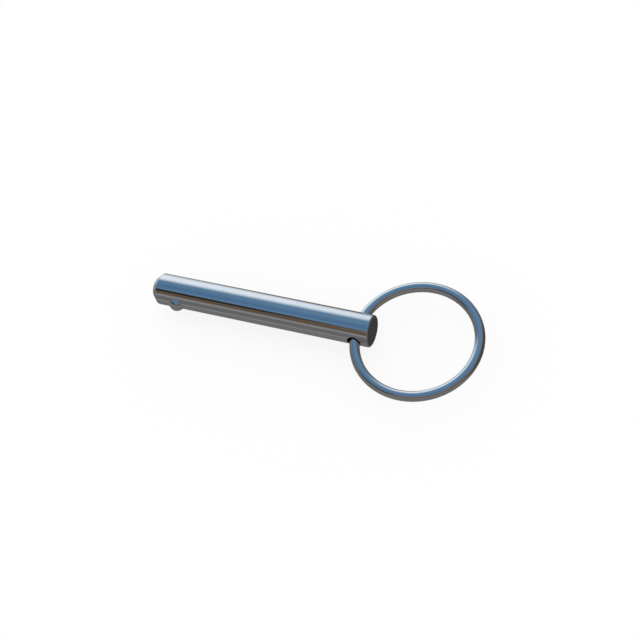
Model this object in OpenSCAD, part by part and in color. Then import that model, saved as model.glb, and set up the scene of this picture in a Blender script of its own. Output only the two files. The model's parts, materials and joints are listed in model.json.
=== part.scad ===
// Detent pin with a pull ring: a solid shank that slides into a pair of aligned holes.
// A spring-loaded ball near its nose holds it in, and a wire ring through its other end pulls it out.
//
// The origin is the centre of the shank's ring-end face and the shank's axis is X,
// with the ring towards +X and the nose towards -X.
// The ring's cross-hole and the ball's pocket are both drilled along Y, and the ball looks out at -Y.
// The pin lies on its side, so +Z is up and the ring lies level with the shank.

/* [Shank] */
// Diameter of the shank
shank_d = 6.35; // [6:0.05:9]
// From the ring-end face to the axis of the ring's cross-hole
hole_inset = 2.85; // [2.5:0.05:5]
// From the cross-hole's axis to the ball's axis
grip_len = 38.3; // [28:0.1:80]
// From the ball's axis to the nose face
nose_len = 5.6; // [4:0.1:9]
// Length and depth of the 45 degree chamfer at the nose
nose_chamfer = 1.2; // [0.4:0.05:1.8]
// Radius of the rounded edge at the ring end
end_round = 0.35; // [0.1:0.05:0.8]

/* [Ring] */
// Diameter of the ring's wire
wire_d = 2; // [1.4:0.05:2.4]
// Inside diameter of the ring
ring_inner_d = 21.86; // [18:0.1:26]
// Room left on each side of the curved wire inside the cross-hole
ring_play = 0.135; // [0.08:0.005:0.25]

/* [Detent] */
// Diameter of the ball
ball_d = 3.175; // [2.4:0.005:3.3]
// How far the ball stands out of the shank
ball_proud = 1; // [0.6:0.05:1.15]
// Room around the ball in its drilled pocket, on each side
ball_play = 0.03; // [0.015:0.005:0.06]
// Room between the ball and the lip that is closed over it
lip_play = 0.01; // [0.005:0.005:0.03]
// Angle of the drill point at the bottom of the pocket
drill_angle = 118; // [90:1:140]
// Metal left between the drill point and the far side of the shank
floor_wall = 0.8; // [0.5:0.05:1.2]

/* [Spring] */
// Diameter of the spring's wire
spring_wire_d = 0.3; // [0.2:0.01:0.34]
// Outside diameter of the spring
spring_d = 2.7; // [2:0.05:2.9]
// Turns that work, between the closed ends
working_turns = 3; // [2:0.5:3.5]
// Closed turns at each end
closed_turns = 1; // [0.75:0.25:1]
// Room left where the spring meets the ball and the pocket
seat_play = 0.02; // [0.01:0.005:0.05]

/* [Hidden] */

// Sides of every round form, and how far cutters run past the metal
FN = 96;
over = 1;

// Places along the shank
hole_x = -hole_inset;
ball_x = hole_x - grip_len;
nose_x = ball_x - nose_len;

// The shank's section
shank_r = shank_d / 2;
nose_r = shank_r - nose_chamfer;

// The wire bows by this much where it crosses the shank, and lies centred in the hole
wire_r = wire_d / 2;
ring_r = (ring_inner_d + wire_d) / 2;
wire_bow = ring_r - sqrt(ring_r * ring_r - shank_r * shank_r);
hole_d = wire_d + wire_bow + 2 * ring_play;
ring_x = hole_x + ring_r - wire_bow / 2;

// The ball, and the pocket that ends in a drill point
ball_r = ball_d / 2;
ball_y = -(shank_r + ball_proud - ball_r);
pocket_r = ball_r + ball_play;
drill_slope = 1 / tan(drill_angle / 2);
drill_depth = pocket_r * drill_slope;
pocket_y = shank_r - floor_wall - drill_depth;

// The spring's centre line runs from the ball to the drill point
spring_wire_r = spring_wire_d / 2;
spring_r = spring_d / 2 - spring_wire_r;
ball_touch = ball_r + spring_wire_r + seat_play;
spring_y0 = ball_y + sqrt(ball_touch * ball_touch - spring_r * spring_r);
cone_y = pocket_y + (pocket_r - spring_r) * drill_slope;
spring_y1 = cone_y - (spring_wire_r + seat_play) / sin(drill_angle / 2);
closed_pitch = spring_wire_d * 1.03;
spring_len = spring_y1 - spring_y0;
working_len = spring_len - 2 * closed_turns * closed_pitch;
all_turns = working_turns + 2 * closed_turns;
STEPS = 20;
SIDES = 8;

// Turns a form that stands along Z so that its top looks towards +Y
module along_y() {
    rotate([-90, 0, 0]) children();
}

// Half of the shank's section, with its axis on the line x = 0 and its ring end at the top
module shank_profile() {
    flat = -nose_x - end_round;
    polygon([
        [0, 0],
        [nose_r, 0],
        [shank_r, nose_chamfer],
        [shank_r, flat],
        [shank_r - end_round, flat],
        [shank_r - end_round, -nose_x],
        [0, -nose_x]
    ]);
    intersection() {
        translate([shank_r - end_round, flat]) circle(r = end_round, $fn = FN);
        translate([shank_r - end_round, flat]) square(end_round);
    }
}

// The ball's drilled hole, its drill point and the lip closed over the ball
module ball_pocket() {
    translate([ball_x, ball_y, 0]) {
        sphere(r = ball_r + lip_play, $fn = FN);
        along_y() cylinder(r = pocket_r, h = pocket_y - ball_y, $fn = FN);
    }
    translate([ball_x, pocket_y, 0])
        along_y() cylinder(r1 = pocket_r, r2 = 0, h = drill_depth, $fn = FN);
}

module shank() {
    color([0.62, 0.66, 0.70]) difference() {
        translate([nose_x, 0, 0])
            rotate([0, 90, 0])
                rotate_extrude($fn = FN) shank_profile();
        translate([hole_x, -shank_r - over, 0])
            along_y() cylinder(d = hole_d, h = shank_d + 2 * over, $fn = FN);
        ball_pocket();
    }
}

module pull_ring() {
    color([0.70, 0.73, 0.76])
        translate([ring_x, 0, 0])
            rotate_extrude($fn = FN)
                translate([ring_r, 0]) circle(d = wire_d, $fn = FN);
}

module detent_ball() {
    color([0.78, 0.80, 0.82])
        translate([ball_x, ball_y, 0]) sphere(d = ball_d, $fn = FN);
}

// How far along its length the spring has climbed after some turns
function climb(turns) =
    closed_pitch * min(turns, closed_turns)
    + working_len / working_turns * max(0, min(turns - closed_turns, working_turns))
    + closed_pitch * max(0, turns - closed_turns - working_turns);

// A point of the wire's skin: the wire stands square to the spring's axis plane
function skin(turns, side) =
    let (a = 360 * turns, b = 360 * side / SIDES, r = spring_r + spring_wire_r * cos(b))
    [r * cos(a), r * sin(a), climb(turns) + spring_wire_r * sin(b)];

module ball_spring() {
    rings = round(all_turns * STEPS);
    points = [for (i = [0:rings], s = [0:SIDES - 1]) skin(i * all_turns / rings, s)];
    walls = [for (i = [0:rings - 1], s = [0:SIDES - 1])
        let (t = (s + 1) % SIDES, at = i * SIDES, next = at + SIDES)
        [at + s, next + s, next + t, at + t]];
    first = [for (s = [0:SIDES - 1]) s];
    last = [for (s = [SIDES - 1:-1:0]) rings * SIDES + s];
    color([0.55, 0.57, 0.60])
        translate([ball_x, spring_y0, 0])
            along_y() polyhedron(points, concat(walls, [first, last]), convexity = 8);
}

shank();
pull_ring();
detent_ball();
ball_spring();
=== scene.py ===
"""Ball lock pin: a turned shank with a sprung ball at its nose and a wire ring at its other end."""
import json
import math

import bmesh
import bpy
from bpy.props import FloatProperty, FloatVectorProperty, IntProperty, PointerProperty
from mathutils import Matrix, Vector


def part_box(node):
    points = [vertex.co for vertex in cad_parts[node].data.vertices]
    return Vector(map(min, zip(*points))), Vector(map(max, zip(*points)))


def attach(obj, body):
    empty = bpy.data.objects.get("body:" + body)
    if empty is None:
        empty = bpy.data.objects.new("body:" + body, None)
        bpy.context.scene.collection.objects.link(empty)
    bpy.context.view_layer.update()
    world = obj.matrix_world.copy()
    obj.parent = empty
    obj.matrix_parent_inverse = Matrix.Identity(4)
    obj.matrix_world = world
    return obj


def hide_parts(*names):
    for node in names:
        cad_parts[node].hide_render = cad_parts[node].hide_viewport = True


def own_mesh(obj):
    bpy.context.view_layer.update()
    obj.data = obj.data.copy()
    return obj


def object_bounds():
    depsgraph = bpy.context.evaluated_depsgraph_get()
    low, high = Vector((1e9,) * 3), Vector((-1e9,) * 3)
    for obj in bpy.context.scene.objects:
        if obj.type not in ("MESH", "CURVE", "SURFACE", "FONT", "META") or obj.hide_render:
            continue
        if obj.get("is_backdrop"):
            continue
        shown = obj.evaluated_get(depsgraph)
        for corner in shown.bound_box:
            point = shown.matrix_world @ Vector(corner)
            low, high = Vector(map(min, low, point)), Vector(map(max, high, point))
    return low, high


bl_info = {
    "name": "Ball Lock Pin",
    "version": (1, 0, 0),
    "blender": (4, 5, 0),
    "location": "View3D > Sidebar > Lock Pin",
    "description": "Builds a ball lock pin, with its ring and sprung ball, round its solid parts",
    "category": "Add Mesh",
}

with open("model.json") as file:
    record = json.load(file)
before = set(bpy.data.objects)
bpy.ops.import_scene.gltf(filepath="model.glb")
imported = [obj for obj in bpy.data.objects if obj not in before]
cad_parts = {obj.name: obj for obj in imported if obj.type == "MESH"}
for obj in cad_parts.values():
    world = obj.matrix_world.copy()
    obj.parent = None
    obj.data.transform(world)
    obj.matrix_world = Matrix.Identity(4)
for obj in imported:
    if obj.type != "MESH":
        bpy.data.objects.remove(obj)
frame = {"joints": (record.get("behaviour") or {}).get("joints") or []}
CAD_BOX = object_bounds()
SHANK_BOX, RING_BOX, BALL_BOX, SPRING_BOX = map(
    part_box, ("shank", "pull_ring", "detent_ball", "ball_spring")
)
JOINTS = {joint["name"]: joint for joint in frame["joints"]}
SWING, PRESS = JOINTS["ring_swing"], JOINTS["ball_press"]

MM = 1e-3
MICRON = 1e-6
SAME_PLACE = 1e-7  # corners this near to each other, or to a surface, count as on it


# ---------------------------------------------------------------- sizes and colours


def length(name, description, default, low=0.0, high=0.2):
    """A length property in metres."""
    return FloatProperty(
        name=name,
        description=description,
        default=default,
        min=low,
        max=high,
        precision=5,
        subtype="DISTANCE",
        unit="LENGTH",
    )


def place(name, description, default):
    """A place along an axis, in metres, on either side of the origin."""
    return length(name, description, default, low=-0.2)


def amount(name, description, default):
    """A plain number from 0 to 1."""
    return FloatProperty(name=name, description=description, default=default, min=0.0, max=1.0)


def colour(name, description, default):
    """A linear colour property."""
    return FloatVectorProperty(
        name=name,
        description=description,
        default=default,
        size=3,
        min=0.0,
        max=1.0,
        subtype="COLOR",
    )


def middle_of(box, axis):
    """Where a box's middle is along an axis."""
    return (box[0][axis] + box[1][axis]) / 2


def lowest_swing():
    """Height of the ring's lowest point when it stands at its lower stop."""
    wire = RING_BOX[1].z
    arm = RING_BOX[1].x - wire - SWING["pos_m"][0]
    return arm * math.sin(math.radians(SWING["range_deg"][0])) - wire


class ShankSizes(bpy.types.PropertyGroup):
    radius: length("Radius", "Half the shank's diameter", SHANK_BOX[1].z)
    nose_x: place("Nose", "Where the nose face stands on the axis", SHANK_BOX[0].x)
    nose_chamfer: length("Nose chamfer", "Length of the chamfer at the nose", 1.2 * MM)
    end_round: length("End round", "Radius of the edge at the ring end", 0.35 * MM)
    edge_break: length("Edge break", "Width of the chamfer's broken edges", 0.08 * MM)
    hole_x: place("Cross-hole", "Where the cross-hole stands on the axis", SWING["pos_m"][0])
    hole_radius: length("Cross-hole radius", "Half the cross-hole's diameter", 1.35 * MM)
    mouth_break: length("Mouth break", "Width of the cross-hole's rounded mouths", 0.12 * MM)


class RingSizes(bpy.types.PropertyGroup):
    wire_radius: length("Wire radius", "Half the wire's diameter", RING_BOX[1].z)
    centre_x: place("Centre", "Where the ring's centre stands on the axis", middle_of(RING_BOX, 0))
    outer_radius: length("Outer radius", "Half the ring's outside diameter", RING_BOX[1].y)


class BallSizes(bpy.types.PropertyGroup):
    radius: length("Radius", "Half the ball's diameter", BALL_BOX[1].z)
    centre_x: place("Place", "Where the ball stands along the shank", middle_of(BALL_BOX, 0))
    centre_y: place("Offset", "How far the ball's centre is off the axis", middle_of(BALL_BOX, 1))
    lip_play: length("Lip play", "Room between the ball and its lip", 0.01 * MM)
    pocket_play: length("Pocket play", "Room between the ball and its pocket", 0.03 * MM)
    pocket_y: place("Pocket end", "Where the pocket's straight wall ends", 1.403 * MM)
    drill_depth: length("Drill point", "Depth of the drill point", 0.972 * MM)


class SpringSizes(bpy.types.PropertyGroup):
    wire_radius: length("Wire radius", "Half the diameter of the spring's wire", 0.15 * MM)
    working_turns: IntProperty(
        name="Working turns", description="Open turns between the closed ends", default=3, min=1
    )
    travel: length("Travel", "How far the ball presses the spring", PRESS["range_m"][1])


class Finishes(bpy.types.PropertyGroup):
    steel: colour("Shank", "Colour of the shank's polished steel", (0.82, 0.82, 0.82))
    wire: colour("Ring", "Colour of the ring's polished wire", (0.81, 0.81, 0.81))
    ball: colour("Ball", "Colour of the ball's hard steel", (0.80, 0.80, 0.81))
    spring: colour("Spring", "Colour of the spring's drawn wire", (0.55, 0.54, 0.52))
    roughness: amount("Roughness", "Roughness of the shank and the ring at their brightest", 0.025)


class StageSizes(bpy.types.PropertyGroup):
    floor_half: length("Floor", "Half the side of the floor", 1.5, high=10.0)
    floor_z: place(
        "Floor height",
        "Height of the floor, just clear of the ring at its lower stop",
        lowest_swing() - 0.1 * MM,
    )
    shadow_fade: amount("Shadow fade", "How far the floor's soft shadow is lightened", 0.82)
    lens: FloatProperty(
        name="Lens",
        description="Focal length of the camera",
        default=70.584,
        min=1.0,
        subtype="DISTANCE_CAMERA",
    )


GROUPS = {
    "pin_shank": ShankSizes,
    "pin_ring": RingSizes,
    "pin_ball": BallSizes,
    "pin_spring": SpringSizes,
    "pin_finishes": Finishes,
    "pin_stage": StageSizes,
}


# ---------------------------------------------------------------- node helper


class NodeKit:
    """Adds nodes to a tree. Where a socket's value is another node's output, it is linked."""

    def __init__(self, tree):
        self.tree = tree

    def set(self, socket, value):
        if isinstance(value, bpy.types.NodeSocket):
            self.tree.links.new(value, socket)
        else:
            socket.default_value = value

    def add(self, kind, sockets=(), **settings):
        node = self.tree.nodes.new("ShaderNode" + kind)
        for key, value in settings.items():
            setattr(node, key, value)
        for key, value in dict(sockets).items():
            self.set(node.inputs[key], value)
        return node

    def math(self, operation, *values):
        """The result of a math node."""
        return self.add("Math", enumerate(values), operation=operation).outputs[0]

    def vector(self, operation, *values, output="Vector"):
        """The result of a vector math node."""
        node = self.add("VectorMath", enumerate(values), operation=operation)
        return node.outputs[output]

    def join(self, x=0.0, y=0.0, z=0.0):
        """A vector made of three numbers."""
        return self.add("CombineXYZ", {"X": x, "Y": y, "Z": z}).outputs["Vector"]

    def split(self, vector):
        """The X, Y and Z of a vector."""
        return self.add("SeparateXYZ", {"Vector": vector}).outputs[:]

    def ramp(self, value, low, high, start=0.0, end=1.0, soft=False):
        """The value carried from the range low..high to start..end, and held there."""
        sockets = {"Value": value, "From Min": low, "From Max": high}
        sockets |= {"To Min": start, "To Max": end}
        kind = "SMOOTHSTEP" if soft else "LINEAR"
        return self.add("MapRange", sockets, interpolation_type=kind).outputs["Result"]

    def plus(self, value, addition, share):
        """The value with a share of another added."""
        return self.math("ADD", value, self.math("MULTIPLY", addition, share))

    def blend(self, share, first, second):
        """A blend of two numbers. The Mix node's number sockets are 2 and 3."""
        return self.add("Mix", {0: share, 2: first, 3: second}, data_type="FLOAT").outputs[0]

    def mix(self, share, first, second):
        """A blend of two colours. The Mix node's colour sockets are 6 and 7."""
        colours = {
            key: (*value, 1) if isinstance(value, tuple) else value
            for key, value in ((6, first), (7, second))
        }
        return self.add("Mix", {0: share, **colours}, data_type="RGBA").outputs[2]

    def noise(self, vector, scale, detail=3.0):
        """Even noise where scale is one number, and lines where it is given by axis."""
        if isinstance(scale, tuple):
            vector = self.add("Mapping", {"Vector": vector, "Scale": scale}).outputs["Vector"]
            scale = 1.0
        sockets = {"Vector": vector, "Scale": scale, "Detail": detail}
        return self.add("TexNoise", sockets).outputs["Fac"]


# ---------------------------------------------------------------- mesh helpers


def finish_mesh(bm, name, sharp_angle=35.0, true_normal=None):
    """Turns a bmesh into a smooth-shaded object at the origin, with its hard edges marked.

    true_normal(corner, face middle) gives the surface's own direction there, or None.
    """
    bmesh.ops.remove_doubles(bm, verts=bm.verts, dist=SAME_PLACE)
    bmesh.ops.recalc_face_normals(bm, faces=bm.faces)
    bm.normal_update()
    for face in bm.faces:
        face.smooth = True
    limit = math.radians(sharp_angle)
    for edge in bm.edges:
        edge.smooth = len(edge.link_faces) != 2 or edge.calc_face_angle() <= limit
    mesh = bpy.data.meshes.new(name)
    bm.to_mesh(mesh)
    bm.free()
    if true_normal:
        unchanged = Vector((0, 0, 0))  # where it is zero, Blender keeps its own direction
        corners = [
            true_normal(mesh.vertices[vertex].co, face.center) or unchanged
            for face in mesh.polygons
            for vertex in face.vertices
        ]
        mesh.normals_split_custom_set(corners)
    piece = bpy.data.objects.new(name, mesh)
    bpy.context.scene.collection.objects.link(piece)
    return piece


def edges_of(verts):
    """The edges that meet at some corners."""
    return list({edge for vert in verts for edge in vert.link_edges})


def spin_profile(bm, points, steps):
    """Spins an open section, given as (x, radius), once round the X axis."""
    verts = [bm.verts.new((x, 0.0, radius)) for x, radius in points]
    edges = [bm.edges.new(pair) for pair in zip(verts, verts[1:])]
    bmesh.ops.spin(
        bm,
        geom=verts + edges,
        cent=(0, 0, 0),
        axis=(1, 0, 0),
        angle=math.tau,
        steps=steps,
        use_merge=True,
    )
    bmesh.ops.remove_doubles(bm, verts=bm.verts, dist=SAME_PLACE)


def ring_edges(bm, x, radius):
    """The edges of the turned corner at x with that radius."""
    slack = 2 * MICRON

    def on_corner(vert):
        out = math.hypot(vert.co.y, vert.co.z)
        return abs(vert.co.x - x) < slack and abs(out - radius) < slack

    return [edge for edge in bm.edges if all(map(on_corner, edge.verts))]


def round_edges(bm, edges, width, segments):
    """Rounds the edges with a circular bevel."""
    bmesh.ops.bevel(
        bm,
        geom=edges,
        offset=width,
        offset_type="OFFSET",
        segments=segments,
        profile=0.5,
        affect="EDGES",
        material=-1,
        clamp_overlap=True,
    )


def grow_loop(bm, edges, move):
    """Extrudes a closed loop of edges and places each new corner with move(old corner)."""
    old = {vert for edge in edges for vert in edge.verts}
    made = bmesh.ops.extrude_edge_only(bm, edges=edges)["geom"]
    new_edges = [item for item in made if isinstance(item, bmesh.types.BMEdge)]
    rim = [edge for edge in new_edges if not (set(edge.verts) & old)]
    for vert in {vert for edge in rim for vert in edge.verts}:
        vert.co = move(vert.co.copy())
    return rim


# ---------------------------------------------------------------- the shank

TURN_STEPS = 144  # faces round the shank
PATCH_CELLS = 15  # half the width of the square that each hole's own mesh fills, in faces
PATCH_RINGS = 5  # loops of faces from that square in to the hole's margin
WALL_STEPS = 12  # faces along the plain wall between the two squares
HOLE_MARGIN, POCKET_MARGIN = 0.25 * MM, 0.12 * MM  # even loops of faces round the mouths
LIP_RINGS = 4  # loops down the lip
LIP_PASSES = 30  # corrections to the curve of the lip's mouth, more than it needs to settle
POCKET_RINGS = (0.0, 0.05, 0.35, 0.7, 1.0)  # loops down the pocket's wall, as shares of it


def open_patch(bm, radius, centre_x, side):
    """Takes a square of faces out of the turned wall, on the +Y or -Y side, and returns its rim."""
    half_angle = PATCH_CELLS * math.tau / TURN_STEPS
    half_x = half_angle * radius

    def inside(face):
        middle = face.calc_center_median()
        angle = math.atan2(middle.z, side * middle.y)
        return abs(middle.x - centre_x) < half_x and abs(angle) < half_angle

    bmesh.ops.delete(bm, geom=[face for face in bm.faces if inside(face)], context="FACES")
    return [edge for edge in bm.edges if edge.is_boundary]


def close_in(bm, rim, radius, centre_x, side, mouth, margin):
    """Fills the wall from a patch's rim in to a mouth. mouth(angle) is its reach that way."""

    def step(share, extra):
        """Moves a corner along the wall, by a share of the way to the mouth widened by extra."""

        def move(co):
            dx, dz = co.x - centre_x, co.z
            reach = math.hypot(dx, dz)
            target = mouth(math.atan2(dz, dx)) + extra
            scale = (reach + (target - reach) * share) / reach
            x, z = centre_x + dx * scale, dz * scale
            return Vector((x, side * math.sqrt(radius * radius - z * z), z))

        return move

    for left in range(PATCH_RINGS, 0, -1):
        rim = grow_loop(bm, rim, step(1 / left, margin))
    return grow_loop(bm, rim, step(1.0, 0.0))


def turned_section(sizes, ball):
    """Half of the shank's section, as (x, radius), with stations that its patches sit on."""
    radius, nose = sizes.radius, sizes.nose_x
    reach = PATCH_CELLS * radius * math.tau / TURN_STEPS
    stations = []
    for centre in (ball.centre_x, sizes.hole_x):
        cells = range(-PATCH_CELLS, PATCH_CELLS + 1)
        stations += [centre + reach * cell / PATCH_CELLS for cell in cells]
    start, end = ball.centre_x + reach, sizes.hole_x - reach
    stations += [start + (end - start) * step / WALL_STEPS for step in range(1, WALL_STEPS)]
    nose_radius = radius - sizes.nose_chamfer
    return [
        (nose, 0.0),
        (nose, nose_radius * 0.5),
        (nose, nose_radius),
        (nose + sizes.nose_chamfer, radius),
        *((x, radius) for x in sorted(stations)),
        (0.0, radius),
        (0.0, radius * 0.6),
        (0.0, radius * 0.3),
        (0.0, 0.0),
    ]


def drill_cross_hole(bm, sizes):
    """Drills the ring's hole through the shank and breaks the edges of its mouths."""

    def mouth_on(side):
        rim = open_patch(bm, sizes.radius, sizes.hole_x, side)
        return close_in(
            bm, rim, sizes.radius, sizes.hole_x, side, lambda angle: sizes.hole_radius, HOLE_MARGIN
        )

    near = mouth_on(1)
    # one mouth is kept shut while the other is made, so that there is one open rim at a time
    cap = bmesh.ops.edgeloop_fill(bm, edges=near)["faces"]
    far = mouth_on(-1)
    bmesh.ops.delete(bm, geom=cap, context="FACES_ONLY")
    bmesh.ops.bridge_loops(bm, edges=near + far)
    round_edges(bm, near + far, sizes.mouth_break, 4)


def drill_pocket(bm, sizes, ball):
    """Drills the ball's pocket, with a drill point, and leaves a lip closed over the ball."""
    shank_radius = sizes.radius
    centre = Vector((ball.centre_x, ball.centre_y, 0.0))
    lip = ball.radius + ball.lip_play
    bore = ball.radius + ball.pocket_play

    def lip_reach(angle):
        """Reach of the curve where the lip's ball-shaped wall meets the shank's round wall."""
        reach = 0.9 * lip
        for _ in range(LIP_PASSES):  # each pass corrects the depth of the round wall at that reach
            depth = math.sqrt(shank_radius**2 - (reach * math.sin(angle)) ** 2) + centre.y
            reach = math.sqrt(lip**2 - depth**2)
        return reach

    def at(angle, reach, y):
        return Vector((centre.x + reach * math.cos(angle), y, reach * math.sin(angle)))

    def ring_at(reach, y):
        """Moves a corner onto a level circle round the pocket's axis."""
        return lambda co: at(math.atan2(co.z, co.x - centre.x), reach, y)

    def down_lip(share):
        """Moves a corner down the lip's ball-shaped wall, by a share of the way to its widest."""

        def move(co):
            away = co - centre
            tilt = math.atan2(math.hypot(away.x, away.z), -away.y)
            tilt += (math.pi / 2 - tilt) * share
            angle = math.atan2(away.z, away.x)
            return at(angle, lip * math.sin(tilt), centre.y - lip * math.cos(tilt))

        return move

    rim = open_patch(bm, shank_radius, centre.x, -1)
    rim = close_in(bm, rim, shank_radius, centre.x, -1, lip_reach, POCKET_MARGIN)
    for left in range(LIP_RINGS, 0, -1):
        rim = grow_loop(bm, rim, down_lip(1 / left))
    for share in POCKET_RINGS:
        rim = grow_loop(bm, rim, ring_at(bore, centre.y + (ball.pocket_y - centre.y) * share))
    rim = grow_loop(bm, rim, ring_at(bore / 2, ball.pocket_y + ball.drill_depth / 2))
    grow_loop(bm, rim, ring_at(0.0, ball.pocket_y + ball.drill_depth))
    bmesh.ops.remove_doubles(bm, verts=bm.verts, dist=SAME_PLACE)


def shank_normal(sizes):
    """Returns the function that knows the true direction of the shank's turned surfaces."""
    radius, nose, hole_x = sizes.radius, sizes.nose_x, sizes.hole_x
    nose_radius, cone_end = radius - sizes.nose_chamfer, nose + sizes.nose_chamfer
    sag = 0.03 * MM  # how far a flat face of the wall may lie under the round one

    def near(value, target):
        return abs(value - target) < SAME_PLACE

    def direction(co, middle):
        out = math.hypot(co.y, co.z)
        depth = math.hypot(middle.y, middle.z)
        from_hole = math.hypot(co.x - hole_x, co.z)
        if near(from_hole, sizes.hole_radius) and depth < radius:
            return Vector((hole_x - co.x, 0, -co.z)) / from_hole
        if near(out, radius) and cone_end < co.x and depth > radius - sag:
            return Vector((0, co.y, co.z)) / out
        if near(co.x, 0.0):
            return Vector((1, 0, 0))
        if near(co.x, nose):
            return Vector((-1, 0, 0))
        if near(out - nose_radius, co.x - nose) and co.x < cone_end:
            return Vector((-out, co.y, co.z)) / (out * math.sqrt(2))
        return None

    return direction


def build_shank(sizes, ball):
    """The turned shank, with its cross-hole and the drilled pocket of the ball."""
    bm = bmesh.new()
    spin_profile(bm, turned_section(sizes, ball), TURN_STEPS)
    drill_cross_hole(bm, sizes)
    drill_pocket(bm, sizes, ball)
    nose, chamfer = sizes.nose_x, sizes.nose_chamfer
    round_edges(bm, ring_edges(bm, 0.0, sizes.radius), sizes.end_round, 8)
    round_edges(bm, ring_edges(bm, nose, sizes.radius - chamfer), sizes.edge_break, 3)
    round_edges(bm, ring_edges(bm, nose + chamfer, sizes.radius), sizes.edge_break, 3)
    return finish_mesh(bm, "pin_shank", true_normal=shank_normal(sizes))


# ---------------------------------------------------------------- the ring, the ball and the spring

WIRE_SIDES, RING_STEPS = 48, 256  # round the wire, and round the ring
BALL_SUBDIVISIONS = 6
SPRING_SIDES, SPRING_STEPS = 16, 32  # round the wire, and along each turn
CLOSED_PITCH = 1.03  # pitch of the closed turns, in wire diameters
CUT_END_ANGLE = 50.0  # only the spring's cut ends turn more sharply than this, in degrees


def build_ring(sizes):
    """The round wire ring."""
    bm = bmesh.new()
    middle = sizes.outer_radius - sizes.wire_radius
    upright = Matrix.Rotation(math.pi / 2, 4, "X")
    matrix = Matrix.Translation((sizes.centre_x + middle, 0, 0)) @ upright
    made = bmesh.ops.create_circle(
        bm, segments=WIRE_SIDES, radius=sizes.wire_radius, matrix=matrix
    )
    bmesh.ops.spin(
        bm,
        geom=made["verts"] + edges_of(made["verts"]),
        cent=(sizes.centre_x, 0, 0),
        axis=(0, 0, 1),
        angle=math.tau,
        steps=RING_STEPS,
        use_merge=True,
    )
    return finish_mesh(bm, "wire_ring")


def build_ball(sizes):
    """The hard ball."""
    bm = bmesh.new()
    matrix = Matrix.Translation((sizes.centre_x, sizes.centre_y, 0))
    bmesh.ops.create_icosphere(
        bm, subdivisions=BALL_SUBDIVISIONS, radius=sizes.radius, matrix=matrix
    )
    return finish_mesh(bm, "catch_ball")


def build_spring(sizes, ball):
    """The spring under the ball: a closed turn at each end and open ones between."""
    bm = bmesh.new()
    wire = sizes.wire_radius
    low, high = SPRING_BOX[0].y, SPRING_BOX[1].y
    coil = SPRING_BOX[1].z - wire
    closed = CLOSED_PITCH * 2 * wire
    opened = (high - low - 2 * wire - 2 * closed) / sizes.working_turns
    made = bmesh.ops.create_circle(
        bm,
        cap_ends=True,
        segments=SPRING_SIDES,
        radius=wire,
        matrix=Matrix.Translation((ball.centre_x + coil, low + wire, 0)),
    )
    verts = made["verts"]
    geom = verts + edges_of(verts) + list({face for vert in verts for face in vert.link_faces})
    for pitch, turns in ((closed, 1), (opened, sizes.working_turns), (closed, 1)):
        geom = bmesh.ops.spin(
            bm,
            geom=geom,
            cent=(ball.centre_x, 0, 0),
            axis=(0, 1, 0),
            dvec=(0, pitch / SPRING_STEPS, 0),
            angle=-math.tau * turns,
            steps=SPRING_STEPS * turns,
        )["geom_last"]
    return finish_mesh(bm, "pressure_spring", CUT_END_ANGLE)


# ---------------------------------------------------------------- finishes

# How often each kind of mark repeats, to the metre along X, Y and Z
GROUND_LINES = (11000, 260, 260)
SLIDING_SCRATCHES = (90, 16000, 16000)
# streaks in the painted shade on the bores' walls
BORE_SHADE_STREAKS = (300, 14000, 300)
BALL_RUBS = (600, 9000, 9000)
SPRING_LINES = (5000, 30000, 5000)
TURNING_PITCH = 0.11 * MM  # from ring to ring of the tool's path on the end faces
# the two darks of the painted shade on the bores' walls
BORE_SHADE_DARK, BORE_SHADE_LIGHT = (0.02, 0.018, 0.016), (0.12, 0.115, 0.11)


def shade_of(base, level):
    """A colour made darker."""
    return tuple(part * level for part in base)


def new_metal(name, base):
    """A bare metal, its node kit, its shader and its place on the piece in metres."""
    material = bpy.data.materials.new(name)
    material.use_nodes = True
    kit = NodeKit(material.node_tree)
    shader = material.node_tree.nodes["Principled BSDF"]
    shader.inputs["Base Color"].default_value = (*base, 1)
    shader.inputs["Metallic"].default_value = 1.0
    spot = kit.add("TexCoord").outputs["Object"]
    return material, kit, shader, spot


def give_surface(kit, shader, base, gloss, height, depth):
    """Links a colour, a roughness, and a height field that is depth metres from low to high."""
    kit.set(shader.inputs["Base Color"], base)
    kit.set(shader.inputs["Roughness"], gloss)
    bump = kit.add("Bump", {"Height": height, "Strength": 1.0, "Distance": depth})
    kit.set(shader.inputs["Normal"], bump.outputs["Normal"])


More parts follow.
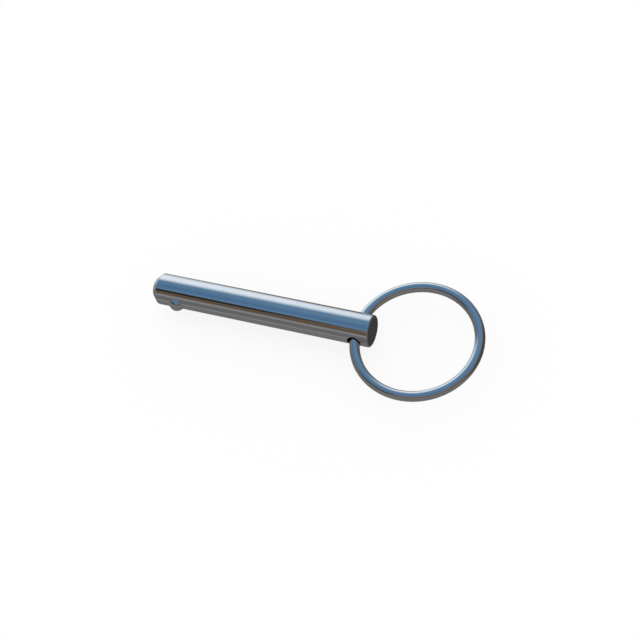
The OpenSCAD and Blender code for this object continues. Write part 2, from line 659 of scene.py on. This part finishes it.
def ground_steel(finishes, sizes, ball):
    """The shank: ground round and polished, turned across its ends, scuffed where it slides in."""
    base = tuple(finishes.steel)
    material, kit, shader, spot = new_metal("polished_shank_steel", base)
    x, y, z = kit.split(spot)
    out = kit.vector("LENGTH", kit.join(y=y, z=z), output="Value")

    # fine lines round the wall, and the tool's rings on the two end faces
    half = -sizes.nose_x / 2
    from_middle = kit.math("ABSOLUTE", kit.math("ADD", x, half))
    ends = kit.ramp(from_middle, half - 0.02 * MM, half - 0.01 * MM)
    turning = kit.math("SINE", kit.math("MULTIPLY", out, math.tau / TURNING_PITCH))
    turning = kit.ramp(turning, -1.0, 1.0)
    lines = kit.blend(ends, kit.noise(spot, GROUND_LINES, 4.0), turning)

    # long scratches from the holes that the pin slides through, most of them near its nose
    rubbed = kit.ramp(x, sizes.nose_x, sizes.hole_x, 1.0, 0.35)
    scratches = kit.ramp(kit.noise(spot, SLIDING_SCRATCHES, 2.0), 0.66, 0.78)
    scratches = kit.math("MULTIPLY", scratches, rubbed)

    # dulled in patches at the chamfer's edge and round the ball
    edge_x = sizes.nose_x + sizes.nose_chamfer
    edge = kit.math("ABSOLUTE", kit.math("SUBTRACT", x, edge_x))
    edge = kit.ramp(edge, 0.0, 0.35 * MM, 1.0, 0.0, soft=True)
    centre = (ball.centre_x, ball.centre_y, 0.0)
    rim = kit.vector("DISTANCE", spot, centre, output="Value")
    rim = kit.ramp(rim, ball.radius, ball.radius + 0.4 * MM, 1.0, 0.0, soft=True)
    worn = kit.ramp(kit.noise(spot, 2200.0), 0.35, 0.65)
    worn = kit.math("MULTIPLY", worn, kit.math("MAXIMUM", edge, rim))

    # both bores are left as drilled and rougher, and their walls carry painted shade: a dark,
    # streaked colour standing in for the shade inside them
    def within(bore_x, radius):
        away = kit.join(x=kit.math("SUBTRACT", x, bore_x), z=z)
        away = kit.vector("LENGTH", away, output="Value")
        return kit.ramp(away, radius + 0.02 * MM, radius + 0.06 * MM, 1.0, 0.0)

    hole, pocket = within(sizes.hole_x, sizes.hole_radius), within(ball.centre_x, ball.radius)
    bored = kit.ramp(out, sizes.radius, sizes.radius - 0.05 * MM)
    bored = kit.math("MULTIPLY", bored, kit.math("MAXIMUM", hole, pocket))
    # painted shade inside the bores, streaked between two darks
    bore_shade = kit.ramp(kit.noise(spot, BORE_SHADE_STREAKS), 0.35, 0.7)
    bore_shade = kit.mix(bore_shade, BORE_SHADE_DARK, BORE_SHADE_LIGHT)

    clouds = kit.ramp(kit.noise(spot, 420.0), 0.3, 0.7, 0.0, 0.4)
    bright = kit.math("ADD", clouds, kit.ramp(lines, 0.35, 0.65, 0.0, 0.6))
    bare = kit.mix(bright, shade_of(base, 0.88), base)
    smooth = finishes.roughness
    gloss = kit.ramp(kit.noise(spot, 240.0), 0.3, 0.7, smooth, 2 * smooth)
    for mark, dulling in ((bored, 0.35), (worn, 0.08), (scratches, 0.10), (ends, 0.05)):
        gloss = kit.plus(gloss, mark, dulling)
    height = kit.plus(lines, scratches, -1.5)
    give_surface(kit, shader, kit.mix(bored, bare, bore_shade), gloss, height, 0.6 * MICRON)
    return material


def drawn_wire(finishes, sizes):
    """The ring: bright wire, with its drawing lines running round the ring, and a few nicks."""
    base = tuple(finishes.wire)
    material, kit, shader, spot = new_metal("polished_ring_wire", base)
    x, y, z = kit.split(spot)
    outward = kit.join(x=kit.math("SUBTRACT", x, sizes.centre_x), y=y)
    way_x, way_y, _ = kit.split(kit.vector("NORMALIZE", outward))
    middle = sizes.outer_radius - sizes.wire_radius
    off = kit.math("SUBTRACT", kit.vector("LENGTH", outward, output="Value"), middle)
    side_x, side_y, _ = kit.split(kit.vector("NORMALIZE", kit.join(x=off, y=z)))

    # noise that changes fast round the wire and slowly along it
    def scaled(value, scale):
        return kit.math("MULTIPLY", value, scale)

    across = kit.join(scaled(side_x, 16.0), scaled(side_y, 16.0), scaled(way_x, 2.0))
    sockets = {"Vector": across, "W": scaled(way_y, 2.0), "Scale": 1.0, "Detail": 4.0}
    lines = kit.add("TexNoise", sockets, noise_dimensions="4D").outputs["Fac"]

    nicks = kit.ramp(kit.noise(spot, 5200.0, 2.0), 0.70, 0.78)
    smooth = finishes.roughness
    gloss = kit.ramp(kit.noise(spot, 300.0), 0.3, 0.7, smooth, 2 * smooth)
    gloss = kit.plus(gloss, nicks, 0.08)
    bare = kit.mix(kit.ramp(lines, 0.35, 0.65), shade_of(base, 0.9), base)
    give_surface(kit, shader, bare, gloss, kit.math("SUBTRACT", lines, nicks), 0.6 * MICRON)
    return material


def lapped_steel(finishes, sizes):
    """The ball: lapped all round, and dulled on the cap that rubs along the hole."""
    base = tuple(finishes.ball)
    material, kit, shader, spot = new_metal("lapped_ball_steel", base)
    _, y, _ = kit.split(spot)
    tip = sizes.centre_y - sizes.radius
    cap = kit.ramp(y, tip, tip + 0.6 * MM, 1.0, 0.0, soft=True)
    worn = kit.math("MULTIPLY", cap, kit.ramp(kit.noise(spot, BALL_RUBS), 0.4, 0.6))
    gloss = kit.ramp(kit.noise(spot, 900.0), 0.3, 0.7, 0.015, 0.035)
    gloss = kit.plus(gloss, worn, 0.06)
    height = kit.plus(worn, kit.noise(spot, 9000.0, 4.0), 0.3)
    bare = kit.mix(worn, base, shade_of(base, 0.93))
    give_surface(kit, shader, bare, gloss, height, 0.15 * MICRON)
    return material


def spring_steel(finishes):
    """The spring: hard drawn wire, a little brown from its oil."""
    base = tuple(finishes.spring)
    material, kit, shader, spot = new_metal("drawn_spring_wire", base)
    lines = kit.noise(spot, SPRING_LINES)
    oil = kit.ramp(kit.noise(spot, 1500.0), 0.4, 0.62)
    brown = (base[0] * 0.75, base[1] * 0.66, base[2] * 0.55)
    gloss = kit.ramp(lines, 0.3, 0.7, 0.18, 0.34)
    give_surface(kit, shader, kit.mix(oil, base, brown), gloss, lines, 0.8 * MICRON)
    return material


# ---------------------------------------------------------------- stage

# The polished metal mirrors a blue sky with a cloud, a brown skyline and grey ground, given
# in round numbers. Their horizon is tilted: SKY_UP is a fitted direction, rounded.
SKY_UP = Vector((0.1, 0.53, 0.84)).normalized()
BLACK, SOOT, DARK_GREY, GREY, PALE_GREY = ((level,) * 3 for level in (0.02, 0.05, 0.15, 0.2, 0.3))
BROWN, DARK_BROWN = (0.2, 0.12, 0.06), (0.1, 0.07, 0.05)
BLUE, DEEP_BLUE, PALE_BLUE = (0.13, 0.25, 0.4), (0.08, 0.18, 0.33), (0.6, 0.7, 0.8)
WHITE = (0.9, 1.0, 1.1)
GROUND_SHADE = GREY  # straight down
SKY_BANDS = (  # height in degrees, and colour
    (-30, DARK_GREY),
    (-20, PALE_GREY),
    (-10, DARK_GREY),
    (-5, DARK_BROWN),  # foot of the skyline
    (5, BROWN),
    (15, GREY),  # haze
    (20, BLUE),
    (40, DEEP_BLUE),
    (60, BLUE),
)
SKY_PATCHES = (  # bearing, height, inner and outer radius, all in degrees, and colour
    (-45, 35, 5, 40, WHITE),  # cloud
    (-45, 5, 5, 30, PALE_BLUE),  # haze under the cloud
    (60, 10, 20, 50, DARK_BROWN),  # bank in shade
    (120, 5, 10, 30, BROWN),  # bank in the sun
    (25, -25, 10, 20, SOOT),  # hollow in the ground
)
SKY_STREAKS = (  # the same, with inner and outer reach first along the horizon, then across it
    (-135, 12, (15, 25), (3, 10), BLACK),  # roof line
    (-130, -60, (10, 20), (1, 5), PALE_GREY),  # kerb
)
# The camera's place and turn and its default lens were fitted together to the pin's outline
CAMERA_PLACE = Vector((0.070583, -0.106785, 0.203355))
CAMERA_BACK, CAMERA_UP = Vector((0.33453, -0.43862, 0.83409)), Vector((-0.18816, 0.83617, 0.51518))
SENSOR_WIDTH = 36.0  # mm


def bearing(azimuth, elevation):
    """A direction of the surroundings, in degrees round and above their horizon."""
    east = Vector((0, 1, 0)).cross(SKY_UP).normalized()
    north = SKY_UP.cross(east)
    azimuth, elevation = math.radians(azimuth), math.radians(elevation)
    level = east * math.sin(azimuth) + north * math.cos(azimuth)
    return level * math.cos(elevation) + SKY_UP * math.sin(elevation)


def build_world():
    """White to the camera and to matt surfaces; polished metal mirrors a sky over grey ground."""
    world = bpy.data.worlds.new("Studio")
    bpy.context.scene.world = world
    world.use_nodes = True
    world.node_tree.nodes.clear()
    kit = NodeKit(world.node_tree)
    look = kit.add("TexCoord").outputs["Generated"]

    def along(direction):
        return kit.vector("DOT_PRODUCT", look, direction, output="Value")

    def near(azimuth, elevation, inner, outer):
        """1 within the inner angle of a bearing, and 0 beyond the outer one."""
        far, close = math.cos(math.radians(outer)), math.cos(math.radians(inner))
        return kit.ramp(along(bearing(azimuth, elevation)), far, close, soft=True)

    rise = kit.math("ARCSINE", along(SKY_UP))
    ramp = kit.add("ValToRGB", {"Fac": kit.ramp(rise, -math.pi / 2, math.pi / 2)})
    bands = ramp.color_ramp.elements
    bands.remove(bands[1])
    bands[0].color = (*GROUND_SHADE, 1)
    for elevation, shade in SKY_BANDS:
        bands.new((elevation + 90) / 180).color = (*shade, 1)
    seen = ramp.outputs["Color"]
    for azimuth, elevation, inner, outer, shade in SKY_PATCHES:
        seen = kit.mix(near(azimuth, elevation, inner, outer), seen, shade)
    for azimuth, elevation, reach, spread, shade in SKY_STREAKS:
        off = kit.math("ABSOLUTE", kit.math("SUBTRACT", rise, math.radians(elevation)))
        inner, outer = map(math.radians, spread)
        level = kit.ramp(off, inner, outer, 1.0, 0.0, soft=True)
        share = kit.math("MULTIPLY", level, near(azimuth, elevation, *reach))
        seen = kit.mix(share, seen, shade)
    plain = kit.add("Background", {"Color": (1, 1, 1, 1)}).outputs[0]
    sky = kit.add("Background", {"Color": seen}).outputs[0]
    mirrored = kit.add("LightPath").outputs["Is Glossy Ray"]
    mix = kit.add("MixShader", {0: mirrored, 1: plain, 2: sky}).outputs[0]
    kit.add("OutputWorld", {"Surface": mix})


def build_floor(sizes):
    """A plain white floor that takes the pin's soft shadow and isn't mirrored in the metal."""
    bm = bmesh.new()
    matrix = Matrix.Translation((0, 0, sizes.floor_z))
    bmesh.ops.create_grid(bm, x_segments=1, y_segments=1, size=sizes.floor_half, matrix=matrix)
    mesh = bpy.data.meshes.new("floor")
    bm.to_mesh(mesh)
    bm.free()
    floor = bpy.data.objects.new("floor", mesh)
    bpy.context.scene.collection.objects.link(floor)
    material = bpy.data.materials.new("white_floor")
    material.use_nodes = True
    kit = NodeKit(material.node_tree)
    matt = kit.add("BsdfDiffuse", {"Color": (1, 1, 1, 1)}).outputs[0]
    lit = kit.add("Emission", {"Color": (1, 1, 1, 1)}).outputs[0]
    watched = kit.add("LightPath").outputs["Is Camera Ray"]
    share = kit.math("MULTIPLY", watched, sizes.shadow_fade)
    mix = kit.add("MixShader", {0: share, 1: matt, 2: lit}).outputs[0]
    kit.set(material.node_tree.nodes["Material Output"].inputs["Surface"], mix)
    mesh.materials.append(material)
    floor.visible_glossy = False
    floor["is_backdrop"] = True


def build_camera(sizes):
    """Looks down on the pin from its ball side."""
    data = bpy.data.cameras.new("camera")
    camera = bpy.data.objects.new("camera", data)
    bpy.context.scene.collection.objects.link(camera)
    data.lens = sizes.lens
    data.sensor_width = SENSOR_WIDTH
    data.clip_start, data.clip_end = 0.01, 10.0
    back = CAMERA_BACK.normalized()
    right = CAMERA_UP.cross(back).normalized()
    turn = Matrix((right, back.cross(right), back)).transposed().to_4x4()
    camera.matrix_world = Matrix.Translation(CAMERA_PLACE) @ turn
    bpy.context.scene.camera = camera


# ---------------------------------------------------------------- operators


def fit(piece, material, body, node):
    """Gives a piece its finish and its body, and hides the solid that it stands for."""
    piece.data.materials.append(material)
    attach(piece, body)
    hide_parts(node)


class MakeStage(bpy.types.Operator):
    """Set up the floor, the light and the camera"""

    bl_idname = "lock_pin.make_stage"
    bl_label = "Stage"

    def execute(self, context):
        scene = context.scene
        scene.view_settings.view_transform = "Standard"
        build_world()
        build_floor(scene.pin_stage)
        build_camera(scene.pin_stage)
        return {"FINISHED"}


class MakeShank(bpy.types.Operator):
    """Turn the shank, and drill its cross-hole and the ball's pocket"""

    bl_idname = "lock_pin.make_shank"
    bl_label = "Shank"

    def execute(self, context):
        scene = context.scene
        piece = build_shank(scene.pin_shank, scene.pin_ball)
        steel = ground_steel(scene.pin_finishes, scene.pin_shank, scene.pin_ball)
        fit(piece, steel, "shank", "shank")
        return {"FINISHED"}


class MakeRing(bpy.types.Operator):
    """Bend the wire ring"""

    bl_idname = "lock_pin.make_ring"
    bl_label = "Ring"

    def execute(self, context):
        scene = context.scene
        piece = build_ring(scene.pin_ring)
        fit(piece, drawn_wire(scene.pin_finishes, scene.pin_ring), "ring", "pull_ring")
        return {"FINISHED"}


class MakeBall(bpy.types.Operator):
    """Make the ball that catches behind the hole"""

    bl_idname = "lock_pin.make_ball"
    bl_label = "Ball"

    def execute(self, context):
        scene = context.scene
        piece = build_ball(scene.pin_ball)
        steel = lapped_steel(scene.pin_finishes, scene.pin_ball)
        fit(piece, steel, "ball", "detent_ball")
        return {"FINISHED"}


class MakeSpring(bpy.types.Operator):
    """Wind the spring behind the ball, at one length; the real spring shortens as the ball is
    pressed
    """

    bl_idname = "lock_pin.make_spring"
    bl_label = "Spring"

    def execute(self, context):
        scene = context.scene
        sizes, ball = scene.pin_spring, scene.pin_ball
        piece = build_spring(sizes, ball)
        fit(piece, spring_steel(scene.pin_finishes), "shank", "ball_spring")
        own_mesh(piece)
        return {"FINISHED"}


OPERATORS = (MakeStage, MakeShank, MakeRing, MakeBall, MakeSpring)


class PinPanel(bpy.types.Panel):
    """Sizes, finishes and the steps that build the pin"""

    bl_idname = "VIEW3D_PT_lock_pin"
    bl_label = "Ball Lock Pin"
    bl_space_type = "VIEW_3D"
    bl_region_type = "UI"
    bl_category = "Lock Pin"

    def draw(self, context):
        for name in GROUPS:
            group = getattr(context.scene, name)
            box = self.layout.box()
            box.label(text=name.replace("pin_", "").capitalize())
            for key in GROUPS[name].__annotations__:
                box.prop(group, key)
        for operator in OPERATORS:
            self.layout.operator(operator.bl_idname)


CLASSES = (*GROUPS.values(), *OPERATORS, PinPanel)


def register():
    for item in CLASSES:
        bpy.utils.register_class(item)
    for name, group in GROUPS.items():
        setattr(bpy.types.Scene, name, PointerProperty(type=group))


def unregister():
    for name in GROUPS:
        delattr(bpy.types.Scene, name)
    for item in reversed(CLASSES):
        bpy.utils.unregister_class(item)


def main():
    register()
    bpy.ops.lock_pin.make_stage()
    bpy.ops.lock_pin.make_shank()
    bpy.ops.lock_pin.make_ring()
    bpy.ops.lock_pin.make_ball()
    bpy.ops.lock_pin.make_spring()
    boxes = {"cad": CAD_BOX, "visual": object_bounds()}
    {name: [list(corner) for corner in box] for name, box in boxes.items()}


if __name__ == "__main__":
    main()
